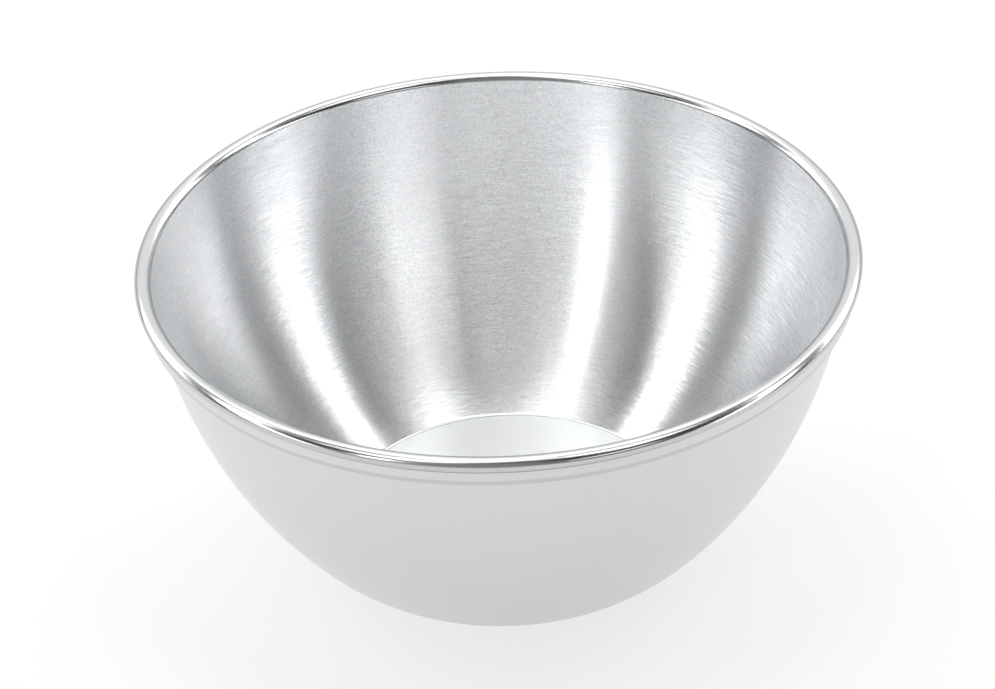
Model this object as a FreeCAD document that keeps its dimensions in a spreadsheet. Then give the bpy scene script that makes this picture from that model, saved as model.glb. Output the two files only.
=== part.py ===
import FreeCAD, Part
import math
import os

import Sketcher
from FreeCAD import Placement, Rotation, Vector

# Shaving bowl: one disc of stainless sheet, spun into a flat base and a flaring wall. Its edge is turned
# outwards over a wire ring, pressed in under the wire, and carried on down as a short skirt that closes
# back on to the wall. The origin is the centre of the underside, and +Z points up.

# Driving dimensions, in millimetres and degrees. The radii belong to the face that the sheet shows: the
# inside of the base and wall, the outside of the rim.
DIMENSIONS = [
    ("rim_diameter", 130.0, "outermost diameter, over the bead"),
    ("total_height", 60.0, "underside to the crest of the bead"),
    ("sheet_thickness", 0.6, "gauge of the sheet"),
    ("base_diameter", 63.5, "flat of the base, inside the bowl"),
    ("corner_radius", 1.6, "base into wall, inside the bowl"),
    ("lower_wall_radius", 40.0, "curve of the lower wall"),
    ("upper_wall_radius", 91.3, "curve of the upper wall"),
    ("mouth_angle", 5.0, "flare from the vertical where the wall meets the bead"),
    ("bead_width", 3.0, "radial width of the bead"),
    ("bead_height", 2.5, "height of the bead"),
    ("bead_cheek_radius", 1.1, "inner and outer cheeks of the bead"),
    ("crease_radius", 0.35, "hollow pressed in under the bead"),
    ("skirt_inset", 0.95, "face of the skirt, in from the outermost point of the bead"),
    ("skirt_drop", 3.0, "middle of the bead down to the start of the curl"),
    ("curl_radius", 1.6, "lower edge of the skirt, turned in to the wall"),
    ("edge_reach", 0.25, "straight lip between the curl and the cut edge of the sheet"),
    ("wire_diameter", 1.2, "wire ring inside the bead"),
]

# Ends of a sketch element, as Sketcher numbers them, and the sketch's own origin and vertical axis.
START, END, CENTRE = 1, 2, 3
ORIGIN, VERTICAL_AXIS = -1, -2


def fill_sheet(doc):
    """Put the driving dimensions in a spreadsheet, one alias each, and return their values by name."""
    sheet = doc.addObject("Spreadsheet::Sheet", "Dimensions")
    for row, (alias, value, note) in enumerate(DIMENSIONS, start=1):
        sheet.set(f"A{row}", alias)
        sheet.set(f"B{row}", str(value))
        sheet.set(f"C{row}", note)
        sheet.setAlias(f"B{row}", alias)
    doc.recompute()
    return {alias: float(sheet.get(alias)) for alias, _, _ in DIMENSIONS}


def point_at(centre, radius, degrees):
    """Point of a circle in the section plane, at an angle counter-clockwise from straight out."""
    angle = math.radians(degrees)
    return Vector(centre.x + radius * math.cos(angle), centre.y + radius * math.sin(angle), 0)


def heading(start, end):
    """Direction from one point of the section plane to another, in degrees."""
    return math.degrees(math.atan2(end.y - start.y, end.x - start.x))


def arc(centre, radius, start, end):
    """Arc of a circle in the section plane, counter-clockwise between two angles in degrees."""
    circle = Part.Circle(centre, Vector(0, 0, 1), radius)
    return Part.ArcOfCircle(circle, math.radians(start), math.radians(end))


def between_circles(centre_a, distance_a, centre_b, distance_b):
    """Point at a distance from each of two centres, on the outer side of the line that joins them."""
    across = centre_b - centre_a
    span = across.Length
    along = (span**2 + distance_a**2 - distance_b**2) / (2 * span)
    aside = math.sqrt(distance_a**2 - along**2)
    unit = across * (1 / span)
    return centre_a + unit * along + Vector(-unit.y, unit.x, 0) * aside


def wall_elements(size, bead_middle, cheek):
    """Inside of the bowl: flat base, corner, lower wall and upper wall, each tangent to the next."""
    lower, upper = size["lower_wall_radius"], size["upper_wall_radius"]
    corner, mouth = size["corner_radius"], size["mouth_angle"]
    base_edge = size["base_diameter"] / 2
    corner_centre = Vector(base_edge, size["sheet_thickness"] + corner, 0)
    inner_cheek = Vector(size["rim_diameter"] / 2 - size["bead_width"] + cheek, bead_middle, 0)
    upper_centre = point_at(inner_cheek, upper + cheek, 180 - mouth)
    lower_centre = between_circles(upper_centre, upper - lower, corner_centre, lower - corner)
    foot = heading(lower_centre, corner_centre)
    change = heading(upper_centre, lower_centre)
    floor = Part.LineSegment(
        Vector(0, size["sheet_thickness"], 0), Vector(base_edge, size["sheet_thickness"], 0)
    )
    return [
        ("base", floor, START),
        ("corner", arc(corner_centre, corner, -90, foot), START),
        ("lower_wall", arc(lower_centre, lower, foot, change), START),
        ("upper_wall", arc(upper_centre, upper, change, -mouth), START),
    ]


def rim_elements(size, bead_middle, cheek, crown):
    """Outside of the rim: inner cheek, crown and outer cheek of the bead, crease, skirt, curl and lip."""
    rim, crease, curl = size["rim_diameter"] / 2, size["crease_radius"], size["curl_radius"]
    inner_cheek = Vector(rim - size["bead_width"] + cheek, bead_middle, 0)
    outer_cheek = Vector(rim - cheek, bead_middle, 0)
    crown_centre = Vector(rim - size["bead_width"] / 2, size["total_height"] - crown, 0)
    shoulder = heading(crown_centre, outer_cheek)
    skirt = rim - size["skirt_inset"]
    crease_out = skirt + crease - outer_cheek.x
    crease_down = math.sqrt((cheek + crease) ** 2 - crease_out**2)
    crease_centre = outer_cheek + Vector(crease_out, -crease_down, 0)
    under = heading(outer_cheek, crease_centre)
    curl_centre = Vector(skirt - curl, bead_middle - size["skirt_drop"], 0)
    lip = point_at(curl_centre, curl, -90)
    face = Part.LineSegment(point_at(crease_centre, crease, 180), point_at(curl_centre, curl, 0))
    edge = Part.LineSegment(lip, lip - Vector(size["edge_reach"], 0, 0))
    return [
        ("inner_cheek", arc(inner_cheek, cheek, 180 - shoulder, 180 - size["mouth_angle"]), END),
        ("crown", arc(crown_centre, crown, shoulder, 180 - shoulder), END),
        ("outer_cheek", arc(outer_cheek, cheek, under, shoulder), END),
        ("crease", arc(crease_centre, crease, 180 + under, 180), START),
        ("skirt", face, START),
        ("curl", arc(curl_centre, curl, -90, 0), END),
        ("lip", edge, START),
    ]


def draw_section(doc, size):
    """Sketch the line of the sheet's shown face from the middle of the base to its cut edge."""
    half_width, half_height = size["bead_width"] / 2, size["bead_height"] / 2
    cheek = size["bead_cheek_radius"]
    crown = ((half_width - cheek) ** 2 + half_height**2 - cheek**2) / (2 * (half_height - cheek))
    bead_middle = size["total_height"] - half_height
    chain = wall_elements(size, bead_middle, cheek) + rim_elements(size, bead_middle, cheek, crown)

    sketch = doc.addObject("Sketcher::SketchObject", "SheetLine")
    sketch.Placement = Placement(Vector(0, 0, 0), Rotation(Vector(1, 0, 0), 90))
    index = {name: sketch.addGeometry(shape, False) for name, shape, _ in chain}
    for (name, _, entry), (following, _, next_entry) in zip(chain, chain[1:]):
        leaving = END if entry == START else START
        sketch.addConstraint(
            Sketcher.Constraint("Tangent", index[name], leaving, index[following], next_entry)
        )
    sketch.addConstraint(Sketcher.Constraint("PointOnObject", index["base"], START, VERTICAL_AXIS))
    for name in ("base", "lip"):
        sketch.addConstraint(Sketcher.Constraint("Horizontal", index[name]))
    sketch.addConstraint(Sketcher.Constraint("Vertical", index["skirt"]))
    bind_section(sketch, index)
    doc.recompute()
    return sketch


def bind_section(sketch, index):
    """Tie every size of the section to the spreadsheet."""
    middle = "Dimensions.total_height - Dimensions.bead_height / 2"
    width, height = "Dimensions.bead_width / 2", "Dimensions.bead_height / 2"
    cheek = "Dimensions.bead_cheek_radius"
    crown = f"(({width} - {cheek}) ^ 2 + ({height}) ^ 2 - {cheek} ^ 2) / (2 * ({height} - {cheek}))"
    rise = f"(Dimensions.upper_wall_radius + {cheek}) * sin(Dimensions.mouth_angle * 1 deg)"
    radii = {
        "corner": "Dimensions.corner_radius",
        "lower_wall": "Dimensions.lower_wall_radius",
        "upper_wall": "Dimensions.upper_wall_radius",
        "inner_cheek": cheek,
        "crown": crown,
        "outer_cheek": cheek,
        "crease": "Dimensions.crease_radius",
        "curl": "Dimensions.curl_radius",
    }
    outwards = {
        ("base", END): "Dimensions.base_diameter / 2",
        ("inner_cheek", CENTRE): f"Dimensions.rim_diameter / 2 - Dimensions.bead_width + {cheek}",
        ("outer_cheek", CENTRE): f"Dimensions.rim_diameter / 2 - {cheek}",
        ("skirt", END): "Dimensions.rim_diameter / 2 - Dimensions.skirt_inset",
    }
    upwards = {
        ("base", START): "Dimensions.sheet_thickness",
        ("upper_wall", CENTRE): f"{middle} + {rise}",
        ("inner_cheek", CENTRE): middle,
        ("outer_cheek", CENTRE): middle,
        ("skirt", END): f"{middle} - Dimensions.skirt_drop",
    }
    for name, size in radii.items():
        radius = sketch.Geometry[index[name]].Radius
        bind(sketch, Sketcher.Constraint("Radius", index[name], radius), f"{name}_radius", size)
    for kind, places in (("DistanceX", outwards), ("DistanceY", upwards)):
        for (name, end), size in places.items():
            at = sketch.getPoint(index[name], end)
            value = at.x if kind == "DistanceX" else at.y
            place = Sketcher.Constraint(kind, ORIGIN, START, index[name], end, value)
            bind(sketch, place, f"{name}_{'out' if kind == 'DistanceX' else 'up'}", size)
    lip = sketch.Geometry[index["lip"]]
    reach = Sketcher.Constraint("Distance", index["lip"], (lip.EndPoint - lip.StartPoint).Length)
    bind(sketch, reach, "lip_reach", "Dimensions.edge_reach")


def bind(sketch, constraint, name, expression):
    """Add a named constraint and drive it from the spreadsheet."""
    number = sketch.addConstraint(constraint)
    sketch.renameConstraint(number, name)
    sketch.setExpression(f"Constraints.{name}", expression)


def make_shell(doc, section):
    """The bowl: the section line thickened into a strip of sheet and turned about the axis."""
    strip = doc.addObject("Part::Offset2D", "SheetStrip")
    strip.Source = section
    strip.Mode = "Skin"
    strip.Fill = True
    strip.setExpression("Value", "-Dimensions.sheet_thickness")
    shell = doc.addObject("Part::Revolution", "BowlShell")
    shell.Label = "bowl_shell"
    shell.Source = strip
    shell.Axis = Vector(0, 0, 1)
    shell.Base = Vector(0, 0, 0)
    shell.Angle = 360
    shell.Solid = True
    return shell


def make_wire(doc):
    """The wire ring that the edge of the sheet is closed round, midway up the bead."""
    wire = doc.addObject("Part::Torus", "RimWire")
    wire.Label = "rim_wire"
    wire.setExpression("Radius1", "(Dimensions.rim_diameter - Dimensions.bead_width) / 2")
    wire.setExpression("Radius2", "Dimensions.wire_diameter / 2")
    wire.setExpression("Placement.Base.z", "Dimensions.total_height - Dimensions.bead_height / 2")
    return wire


def check(doc, pieces):
    """Stop if any object failed to recompute or any piece is empty or invalid."""
    for thing in doc.Objects:
        if "Invalid" in thing.State or "Error" in thing.State:
            raise RuntimeError(f"{thing.Label} failed: {thing.State}")
    for piece in pieces:
        if piece.Shape.isNull() or not piece.Shape.isValid():
            raise RuntimeError(f"{piece.Label} has no valid shape")


def main():
    doc = FreeCAD.newDocument("ShavingBowl")
    size = fill_sheet(doc)
    section = draw_section(doc, size)
    pieces = [make_shell(doc, section), make_wire(doc)]
    doc.recompute()
    check(doc, pieces)
    os.makedirs("parts", exist_ok=True)
    for piece in pieces:
        piece.Shape.exportStep(os.path.join("parts", f"{piece.Label}.step"))
        box = piece.Shape.BoundBox
        print(f"{piece.Label}: {piece.Shape.Volume:.1f} mm3, {box.XLength:.2f} x {box.ZLength:.2f} mm")
    print(f"section: {section.solve()} solver state, {len(section.Geometry)} elements")


main()
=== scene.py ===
"""Looks for the steel shaving bowl: one spun sheet with a satin inside and outside and a bright rim."""
import math

import bpy
from mathutils import Matrix, Vector


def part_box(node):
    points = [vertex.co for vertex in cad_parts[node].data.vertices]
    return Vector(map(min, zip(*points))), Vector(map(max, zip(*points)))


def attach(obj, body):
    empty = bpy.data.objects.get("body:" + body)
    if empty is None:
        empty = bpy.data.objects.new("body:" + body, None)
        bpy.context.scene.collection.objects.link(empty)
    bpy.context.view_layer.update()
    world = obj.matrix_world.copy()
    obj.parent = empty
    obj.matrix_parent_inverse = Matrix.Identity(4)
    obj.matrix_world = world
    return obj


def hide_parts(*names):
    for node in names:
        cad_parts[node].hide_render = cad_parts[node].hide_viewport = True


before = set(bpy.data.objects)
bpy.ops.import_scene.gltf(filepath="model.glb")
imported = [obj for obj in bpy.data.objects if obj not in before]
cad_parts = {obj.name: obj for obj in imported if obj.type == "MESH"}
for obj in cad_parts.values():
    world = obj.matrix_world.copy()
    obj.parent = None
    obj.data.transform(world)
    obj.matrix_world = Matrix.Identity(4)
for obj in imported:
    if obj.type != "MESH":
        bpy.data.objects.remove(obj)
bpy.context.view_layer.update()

MM = 0.001

# The sheet's section, in metres. Height and width come from the frame; radii belong to the shown face.
SHELL_LOW, SHELL_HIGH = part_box("bowl_shell")
RIM_RADIUS = (SHELL_HIGH.x - SHELL_LOW.x) / 2
HEIGHT = SHELL_HIGH.z - SHELL_LOW.z
SHEET = 0.6 * MM
BASE_RADIUS = 31.75 * MM
CORNER = 1.6 * MM
LOWER_WALL = 40.0 * MM
UPPER_WALL = 91.3 * MM
MOUTH_ANGLE = 5.0
BEAD_WIDTH = 3.0 * MM
BEAD_HEIGHT = 2.5 * MM
CHEEK = 1.1 * MM
CREASE = 0.35 * MM
SKIRT_INSET = 0.95 * MM
SKIRT_DROP = 3.0 * MM
CURL = 1.6 * MM
EDGE_REACH = 0.25 * MM

# How finely the skin is cut: steps round the axis, and along the section's arcs and lines.
SEGMENTS = 720
STEP_DEGREES = 5.0
STEP_LENGTH = 1.0 * MM
SHARP_DEGREES = 40

# The camera stands in front, at -Y, and looks down into the bowl. Angles are in degrees, the lens and the
# sensor in millimetres, and the nearest and farthest things it sees in metres.
CAMERA_DISTANCE = 9 * RIM_RADIUS
CAMERA_ELEVATION = 32.606
CAMERA_YAW = -0.072
CAMERA_PITCH = -1.582
CAMERA_ROLL = -2.455
LENS = 118.27
SENSOR = 36.0
NEAREST = 0.01
FARTHEST = 20.0

# Colours of the steel, in turn: most of the sheet, the inside, the base, made paler as a painted reflection
# of the light, the bead and the wire, the curl of the skirt, made darker as painted shade, and the crease,
# made darker as painted shade.
STEEL = (0.70, 0.71, 0.72)
BRIGHT_STEEL = (0.85, 0.86, 0.87)
# Painted reflection: the base's steel is paler than the inside's, standing in for the light it reflects from
# above.
BASE_STEEL_PAINTED_BRIGHT = (0.94, 0.95, 0.95)
RIM_STEEL = (0.55, 0.56, 0.57)
# Painted shade: the curl is darker so that a soft dark line shows under the rim.
CURL_STEEL_PAINTED_SHADE = (0.60, 0.61, 0.62)
# Painted shade: the crease is darker, standing in for the shade in the groove under the bead.
CREASE_STEEL_PAINTED_SHADE = (0.28, 0.29, 0.30)


# ---------------------------------------------------------------- shape


def point_at(centre, radius, degrees):
    angle = math.radians(degrees)
    return Vector((centre.x + radius * math.cos(angle), centre.y + radius * math.sin(angle)))


def heading(start, end):
    return math.degrees(math.atan2(end.y - start.y, end.x - start.x))


def between_circles(centre_a, distance_a, centre_b, distance_b):
    """Point at a distance from each of two centres, to the left of the line from the first to the second."""
    across = centre_b - centre_a
    span = across.length
    along = (span**2 + distance_a**2 - distance_b**2) / (2 * span)
    aside = math.sqrt(distance_a**2 - along**2)
    unit = across / span
    return centre_a + unit * along + Vector((-unit.y, unit.x)) * aside


def section():
    """The shown face from the middle of the base to the cut edge, as arcs and lines.

    An arc is (zone, centre, radius, first angle, last angle), a line (zone, start, end).
    """
    middle = HEIGHT - BEAD_HEIGHT / 2
    half_width, half_height = BEAD_WIDTH / 2, BEAD_HEIGHT / 2
    crown = ((half_width - CHEEK) ** 2 + half_height**2 - CHEEK**2) / (2 * (half_height - CHEEK))
    inner_cheek = Vector((RIM_RADIUS - BEAD_WIDTH + CHEEK, middle))
    outer_cheek = Vector((RIM_RADIUS - CHEEK, middle))
    crown_centre = Vector((RIM_RADIUS - half_width, HEIGHT - crown))
    corner_centre = Vector((BASE_RADIUS, SHEET + CORNER))
    upper_centre = point_at(inner_cheek, UPPER_WALL + CHEEK, 180 - MOUTH_ANGLE)
    lower_centre = between_circles(upper_centre, UPPER_WALL - LOWER_WALL, corner_centre, LOWER_WALL - CORNER)
    foot = heading(lower_centre, corner_centre)
    change = heading(upper_centre, lower_centre)
    shoulder = heading(crown_centre, outer_cheek)
    skirt = RIM_RADIUS - SKIRT_INSET
    crease_out = skirt + CREASE - outer_cheek.x
    crease_centre = outer_cheek + Vector((crease_out, -math.sqrt((CHEEK + CREASE) ** 2 - crease_out**2)))
    under = heading(outer_cheek, crease_centre)
    curl_centre = Vector((skirt - CURL, middle - SKIRT_DROP))
    lip = curl_centre - Vector((0, CURL))
    return [
        ("base", Vector((0, SHEET)), Vector((BASE_RADIUS, SHEET))),
        ("corner", corner_centre, CORNER, -90, foot),
        ("inside", lower_centre, LOWER_WALL, foot, change),
        ("inside", upper_centre, UPPER_WALL, change, -MOUTH_ANGLE),
        ("bead", inner_cheek, CHEEK, 180 - MOUTH_ANGLE, 180 - shoulder),
        ("bead", crown_centre, crown, 180 - shoulder, shoulder),
        ("bead", outer_cheek, CHEEK, shoulder, under),
        ("crease", crease_centre, CREASE, 180 + under, 180),
        ("skirt", crease_centre - Vector((CREASE, 0)), curl_centre + Vector((CURL, 0))),
        ("curl", curl_centre, CURL, 0, -90),
        ("curl", lip, lip - Vector((EDGE_REACH, 0))),
    ]


# What the hidden face of each zone is: the far side of the same stretch of sheet.
HIDDEN_SIDE = {
    "base": "underside", "corner": "outside", "inside": "outside",
    "bead": "hem", "crease": "hem", "skirt": "hem", "curl": "hem",
}
ZONES = [
    "base", "corner", "inside", "bead", "crease", "skirt", "curl",
    "edge", "outside", "underside", "hem",
]


def walk(piece):
    """Points along one arc or line of the section, each with the direction into the sheet."""
    if len(piece) == 3:
        _, start, end = piece
        count = math.ceil((end - start).length / STEP_LENGTH)
        along = (end - start).normalized()
        into = Vector((along.y, -along.x))
        return [(start.lerp(end, i / count), into) for i in range(count + 1)]
    _, centre, radius, first, last = piece
    turn = last - first
    length = math.radians(abs(turn)) * radius
    count = max(math.ceil(abs(turn) / STEP_DEGREES), math.ceil(length / STEP_LENGTH))
    away = 1 if turn > 0 else -1
    points = []
    for i in range(count + 1):
        angle = first + turn * i / count
        points.append((point_at(centre, radius, angle), point_at(Vector((0, 0)), away, angle)))
    return points


def outline():
    """Points round the sheet's section with the zone of the stretch before each: shown face, then hidden."""
    shown, hidden = [], []
    for piece in section():
        points = walk(piece)
        for point, into in points[1:] if shown else points:
            shown.append((point, piece[0]))
            hidden.append((point + into * SHEET, HIDDEN_SIDE[piece[0]]))
    return shown, hidden


def spin_sheet(name):
    """The whole sheet as one closed skin, turned round the axis, with a material index for each zone."""
    shown, hidden = outline()
    section_points = shown + hidden[::-1]
    rings = section_points[1:-1]
    zones_between = [zone for _, zone in shown[2:]] + ["edge"] + [zone for _, zone in hidden[:1:-1]]
    vertices = [Vector((0, 0, section_points[0][0].y))]
    for point, _ in rings:
        for i in range(SEGMENTS):
            angle = 2 * math.pi * i / SEGMENTS
            vertices.append(Vector((point.x * math.cos(angle), point.x * math.sin(angle), point.y)))
    vertices.append(Vector((0, 0, section_points[-1][0].y)))
    top, bottom, last_ring = 0, len(vertices) - 1, 1 + (len(rings) - 1) * SEGMENTS
    faces, zones = [], []
    for i in range(SEGMENTS):
        following = (i + 1) % SEGMENTS
        faces.append((top, 1 + i, 1 + following))
        zones.append("base")
        for ring, zone in enumerate(zones_between):
            here = 1 + ring * SEGMENTS
            beyond = here + SEGMENTS
            faces.append((here + i, beyond + i, beyond + following, here + following))
            zones.append(zone)
        faces.append((last_ring + i, bottom, last_ring + following))
        zones.append("underside")
    mesh = bpy.data.meshes.new(name)
    mesh.from_pydata(vertices, [], faces)
    for polygon, zone in zip(mesh.polygons, zones):
        polygon.material_index = ZONES.index(zone)
        polygon.use_smooth = True
    mesh.set_sharp_from_angle(angle=math.radians(SHARP_DEGREES))
    piece = bpy.data.objects.new(name, mesh)
    bpy.context.scene.collection.objects.link(piece)
    return piece


# ---------------------------------------------------------------- node shorthand


def add_node(tree, kind, inputs=(), **settings):
    """A shader node with its settings and inputs; an input is a value or the socket that feeds it."""
    made = tree.nodes.new("ShaderNode" + kind)
    for key, value in settings.items():
        setattr(made, key, value)
    for key, value in dict(inputs).items():
        if isinstance(value, bpy.types.NodeSocket):
            tree.links.new(value, made.inputs[key])
        else:
            made.inputs[key].default_value = value
    return made


def number(tree, operation, *values):
    return add_node(tree, "Math", enumerate(values), operation=operation).outputs[0]


def vector(tree, operation, *values):
    return add_node(tree, "VectorMath", enumerate(values), operation=operation).outputs[0]


def scaled(tree, direction, factor):
    return add_node(tree, "VectorMath", {0: direction, "Scale": factor}, operation="SCALE").outputs[0]


def eased(tree, value, start, end, low=0.0, high=1.0):
    """Eases from low to high as value goes from start to end."""
    inputs = {"Value": value, "From Min": start, "From Max": end, "To Min": low, "To Max": high}
    return add_node(tree, "MapRange", inputs, interpolation_type="SMOOTHSTEP").outputs[0]


def stretched(tree, value, low, high):
    return add_node(tree, "MapRange", {"Value": value, "To Min": low, "To Max": high}).outputs[0]


# ---------------------------------------------------------------- materials

# Scratches too fine to see one by one: width and length of a streak. Seeds keep the layers of marks apart.
HAIR_WIDTH = 0.08 * MM
HAIR_LENGTH = 5 * MM
HAIR_SEED = 77.1
SEED_STEP = 19.3

# Turns the long axis of the gloss from round the bowl to up and down the wall: a quarter of a full turn.
GLOSS_TURN = 0.25


def grain(tree, width, length, detail=2.0, seed=0.0):
    """Noise drawn out round the axis into streaks of about that width and length, from 0 to 1."""
    place = add_node(tree, "TexCoord").outputs["Object"]
    split = add_node(tree, "SeparateXYZ", {0: place})
    flat = add_node(tree, "CombineXYZ", {"X": split.outputs["X"], "Y": split.outputs["Y"]}).outputs[0]
    radius = add_node(tree, "VectorMath", {0: flat}, operation="LENGTH").outputs["Value"]
    turn = scaled(tree, vector(tree, "NORMALIZE", flat), RIM_RADIUS / length)
    climb = number(tree, "MULTIPLY_ADD", number(tree, "ADD", radius, split.outputs["Z"]), 1 / width, seed)
    lift = add_node(tree, "CombineXYZ", {"Z": climb}).outputs[0]
    inputs = {"Vector": vector(tree, "ADD", turn, lift), "Scale": 1.0, "Detail": detail, "Roughness": 0.6}
    return add_node(tree, "TexNoise", inputs).outputs["Fac"]


def tilted_normal(tree, tangent, round_tilt, climb_tilt):
    """The surface's normal, leant along and across the brushing by two signed amounts."""
    normal = add_node(tree, "NewGeometry").outputs["Normal"]
    across = vector(tree, "CROSS_PRODUCT", normal, tangent)
    leant = vector(tree, "ADD", normal, scaled(tree, tangent, round_tilt))
    return vector(tree, "NORMALIZE", vector(tree, "ADD", leant, scaled(tree, across, climb_tilt)))


def brushed_steel(name, colour, roughness, anisotropy, marks, hair):
    """Steel worked round and round the axis: marks run round, and gloss spreads up and down.

    Each mark is a layer of streaks: its width and length, how far it leans the surface along and across the
    streak, and how much it lightens or darkens the steel. Hair is how far the finest scratches lean it.
    """
    material = bpy.data.materials.new(name)
    material.use_nodes = True
    tree = material.node_tree
    tree.nodes.clear()
    tangent = add_node(tree, "Tangent", direction_type="RADIAL", axis="Z").outputs[0]
    lean = 0.0
    scratches = grain(tree, HAIR_WIDTH, HAIR_LENGTH, detail=1.0, seed=HAIR_SEED)
    climb = stretched(tree, scratches, -hair, hair)
    tone = 1.0
    for index, (width, length, along, across, shade) in enumerate(marks):
        streaks = grain(tree, width * MM, length * MM, seed=SEED_STEP * index)
        lean = number(tree, "ADD", lean, stretched(tree, streaks, -along, along))
        climb = number(tree, "ADD", climb, stretched(tree, streaks, -across, across))
        tone = number(tree, "MULTIPLY", tone, stretched(tree, streaks, 1 - shade, 1 + shade))
    inputs = {
        "Base Color": scaled(tree, colour, tone),
        "Metallic": 1.0,
        "Roughness": roughness,
        "Anisotropic": anisotropy,
        "Anisotropic Rotation": GLOSS_TURN,
        "Tangent": tangent,
        "Normal": tilted_normal(tree, tangent, lean, climb),
    }
    steel = add_node(tree, "BsdfPrincipled", inputs)
    add_node(tree, "OutputMaterial", {"Surface": steel.outputs[0]})
    return material


# ---------------------------------------------------------------- studio

# Light comes from soft panels round the bowl. Azimuth 0 is the camera's side and grows to the camera's right.
# Angles are in degrees: azimuth is taken at the horizon, lean is how far a panel shifts round for each degree
# up, and soft is half the width of its fading edges, at its sides and then at its top and bottom. The
# camera's own side stays nearly dark.
AMBIENT = 0.02
PANELS = {
    "left_softbox": dict(azimuth=(-61, -40), lean=-1.2, elevation=(8, 55), soft=(2, 8), strength=4.5),
    "right_softbox": dict(azimuth=(50, 66), lean=1.1, elevation=(4, 50), soft=(2, 8), strength=5.0),
    "left_back_light": dict(azimuth=(-118, -91), lean=-0.9, elevation=(10, 35), soft=(2, 8), strength=5.0),
    "right_back_light": dict(azimuth=(94, 119), lean=0.9, elevation=(10, 35), soft=(2, 8), strength=5.0),
    "left_front_fill": dict(azimuth=(-45, -35), lean=0.0, elevation=(22, 40), soft=(2, 8), strength=5.0),
    "right_front_fill": dict(azimuth=(15, 40), lean=0.2, elevation=(20, 30), soft=(2, 8), strength=2.6),
    "high_right": dict(azimuth=(40, 85), lean=0.2, elevation=(60, 95), soft=(10, 6), strength=4.0),
    "high_left": dict(azimuth=(-95, -40), lean=0.0, elevation=(60, 95), soft=(4, 6), strength=3.0),
    "high_back": dict(azimuth=(130, 210), lean=0.3, elevation=(75, 95), soft=(4, 6), strength=3.4),
    "camera_side": dict(azimuth=(-45, 15), lean=0.0, elevation=(24, 70), soft=(3, 6), strength=0.3),
    "front_foot": dict(azimuth=(-45, 15), lean=0.0, elevation=(-10, 20), soft=(8, 6), strength=0.5),
    "backdrop_foot": dict(azimuth=(135, 225), lean=0.0, elevation=(-10, 70), soft=(4, 6), strength=0.5),
    "backdrop": dict(azimuth=(135, 225), lean=0.0, elevation=(15, 70), soft=(4, 10), strength=0.7),
    "backdrop_top": dict(azimuth=(135, 225), lean=0.0, elevation=(45, 70), soft=(4, 8), strength=1.3),
}

# The floor, a hair below the bowl: how much it reflects, how much it glows, and how far it reaches.
FLOOR_PAINT = 0.30
FLOOR_GLOW = 0.66
FLOOR_REACH = 4.0
FLOOR_GAP = 0.05 * MM


def studio_light(tree):
    """Brightness of the studio in each direction."""
    split = add_node(tree, "SeparateXYZ", {0: add_node(tree, "TexCoord").outputs["Generated"]})
    toward_camera = number(tree, "MULTIPLY", split.outputs["Y"], -1.0)
    azimuth = number(tree, "DEGREES", number(tree, "ARCTAN2", split.outputs["X"], toward_camera))
    elevation = number(tree, "DEGREES", number(tree, "ARCSINE", split.outputs["Z"]))

    def between(value, low, high, soft):
        rise = eased(tree, value, low - soft, low + soft)
        fall = eased(tree, value, high - soft, high + soft, 1.0, 0.0)
        return number(tree, "MULTIPLY", rise, fall)

    total = AMBIENT
    for panel in PANELS.values():
        low, high = panel["azimuth"]
        middle = (low + high) / 2
        upright = number(tree, "MULTIPLY_ADD", elevation, -panel["lean"], azimuth)
        off_middle = number(tree, "WRAP", number(tree, "SUBTRACT", upright, middle), 180.0, -180.0)
        across = between(off_middle, low - middle, high - middle, panel["soft"][0])
        up = between(elevation, *panel["elevation"], panel["soft"][1])
        lit = number(tree, "MULTIPLY", across, up)
        total = number(tree, "MULTIPLY_ADD", lit, panel["strength"], total)
    return total


def make_world():
    world = bpy.data.worlds.new("studio")
    bpy.context.scene.world = world
    world.use_nodes = True
    tree = world.node_tree
    tree.nodes.clear()
    light = add_node(tree, "Background", {"Color": (1, 1, 1, 1), "Strength": studio_light(tree)})
    backdrop = add_node(tree, "Background", {"Color": (1, 1, 1, 1), "Strength": 1.0})
    seen = add_node(tree, "LightPath").outputs["Is Camera Ray"]
    both = add_node(tree, "MixShader", {0: seen, 1: light.outputs[0], 2: backdrop.outputs[0]})
    add_node(tree, "OutputWorld", {"Surface": both.outputs[0]})
    bpy.context.scene.view_settings.view_transform = "Standard"


def make_floor():
    """A pale table lit softly from below, so that shadows stay faint."""
    mesh = bpy.data.meshes.new("floor")
    reach = FLOOR_REACH
    corners = [(-reach, -reach, 0), (reach, -reach, 0), (reach, reach, 0), (-reach, reach, 0)]
    mesh.from_pydata(corners, [], [(0, 1, 2, 3)])
    floor = bpy.data.objects.new("floor", mesh)
    floor.location.z = -FLOOR_GAP
    bpy.context.scene.collection.objects.link(floor)
    material = bpy.data.materials.new("floor_paint")
    material.use_nodes = True
    tree = material.node_tree
    tree.nodes.clear()
    paint = add_node(tree, "BsdfDiffuse", {"Color": (FLOOR_PAINT, FLOOR_PAINT, FLOOR_PAINT, 1)})
    glow = add_node(tree, "Emission", {"Color": (1, 1, 1, 1), "Strength": FLOOR_GLOW})
    lit = add_node(tree, "AddShader", {0: paint.outputs[0], 1: glow.outputs[0]})
    add_node(tree, "OutputMaterial", {"Surface": lit.outputs[0]})
    mesh.materials.append(material)


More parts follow.
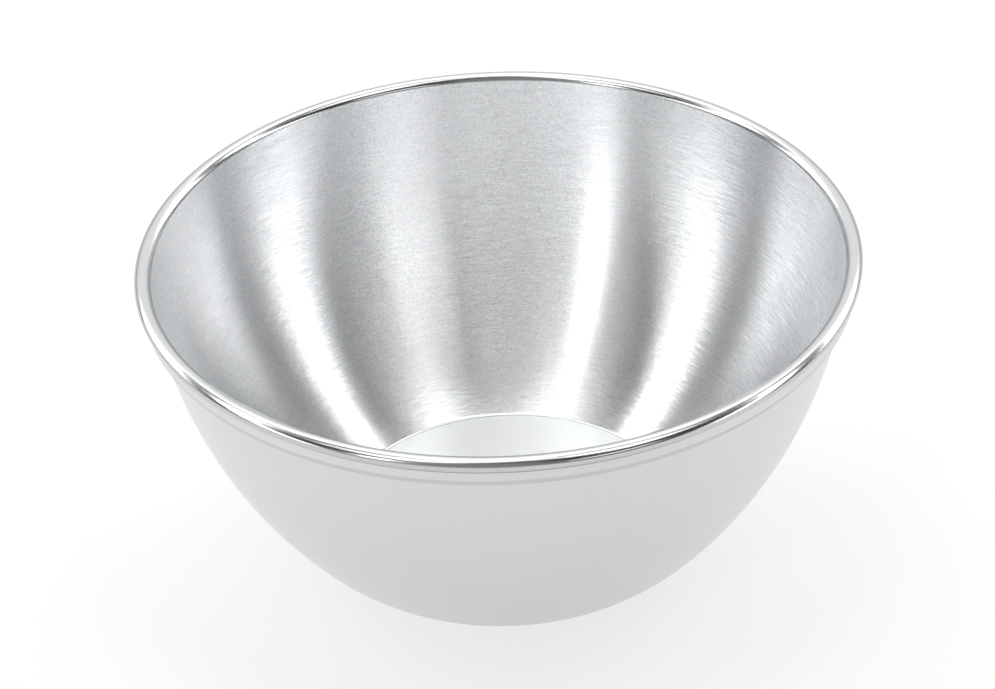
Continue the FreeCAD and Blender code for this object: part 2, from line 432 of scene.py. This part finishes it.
def make_camera():
    """Camera on a sphere round the middle of the rim, facing it and then turned by three small angles."""
    rim_middle = Vector((0, 0, HEIGHT - BEAD_HEIGHT / 2))
    elevation = math.radians(CAMERA_ELEVATION)
    back = Vector((0, -math.cos(elevation), math.sin(elevation)))
    turned = (
        Matrix.Rotation(math.radians(90 - CAMERA_ELEVATION), 4, "X")
        @ Matrix.Rotation(math.radians(-CAMERA_YAW), 4, "Y")
        @ Matrix.Rotation(math.radians(CAMERA_PITCH), 4, "X")
        @ Matrix.Rotation(math.radians(CAMERA_ROLL), 4, "Z")
    )
    data = bpy.data.cameras.new("camera")
    data.lens = LENS
    data.sensor_width = SENSOR
    data.clip_start = NEAREST
    data.clip_end = FARTHEST
    camera = bpy.data.objects.new("camera", data)
    camera.matrix_world = Matrix.Translation(rim_middle + back * CAMERA_DISTANCE) @ turned
    bpy.context.scene.collection.objects.link(camera)
    bpy.context.scene.camera = camera


# ---------------------------------------------------------------- assembly

make_camera()
make_world()
make_floor()

# Layers of marks: width and length in mm, lean along and across the streak, and shade.
DASHES = (0.20, 2.2, 0.035, 0.04, 0.20)
SPECKS = (0.20, 0.4, 0.04, 0.04, 0.55)
LONG_STREAKS = (0.35, 14.0, 0.012, 0.04, 0.06)
SOFT_RINGS = (0.50, 20.0, 0.01, 0.02, 0.02)
FAINT_DASHES = (0.30, 5.0, 0.02, 0.02, 0.02)
TURNING_RINGS = (0.35, 300.0, 0.0, 0.10, 0.08)
DRAWN_LINES = (0.10, 25.0, 0.02, 0.10, 0.10)
SCUFFS = (0.12, 4.0, 0.02, 0.02, 0.03)
# Random tone on the crease, laid over its painted shade.
CREASE_MARKS = (0.15, 1.5, 0.10, 0.10, 0.15)

FINISHES = {
    "inside": brushed_steel("steel_inside", BRIGHT_STEEL, 0.31, 1.0, [DASHES, SPECKS, LONG_STREAKS], 0.40),
    # The base wears the paler steel: a painted reflection.
    "base": brushed_steel("steel_base", BASE_STEEL_PAINTED_BRIGHT, 0.42, 0.3, [SOFT_RINGS, FAINT_DASHES], 0.05),
    "corner": brushed_steel("steel_corner", STEEL, 0.24, 0.4, [SOFT_RINGS], 0.05),
    "outside": brushed_steel("steel_outside", STEEL, 0.45, 0.5, [FAINT_DASHES], 0.05),
    "bead": brushed_steel("steel_bead", RIM_STEEL, 0.20, 0.3, [SCUFFS], 0.02),
    # The crease and the curl wear darker steel: painted shade.
    "crease": brushed_steel("steel_crease", CREASE_STEEL_PAINTED_SHADE, 0.55, 0.3, [CREASE_MARKS], 0.05),
    "curl": brushed_steel("steel_curl", CURL_STEEL_PAINTED_SHADE, 0.50, 0.4, [FAINT_DASHES], 0.05),
    "underside": brushed_steel("steel_underside", STEEL, 0.40, 0.5, [TURNING_RINGS, FAINT_DASHES], 0.05),
    "edge": brushed_steel("steel_cut_edge", STEEL, 0.30, 0.7, [LONG_STREAKS], 0.10),
    "wire": brushed_steel("steel_wire", RIM_STEEL, 0.30, 0.8, [DRAWN_LINES], 0.10),
}

# Zones that wear the finish of another zone.
WEARS = {"skirt": "outside", "hem": "outside"}

bowl = spin_sheet("bowl")
for zone in ZONES:
    bowl.data.materials.append(FINISHES[WEARS.get(zone, zone)])
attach(bowl, "root")
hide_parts("bowl_shell")

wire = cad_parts["rim_wire"]
wire.data.materials.clear()
wire.data.materials.append(FINISHES["wire"])
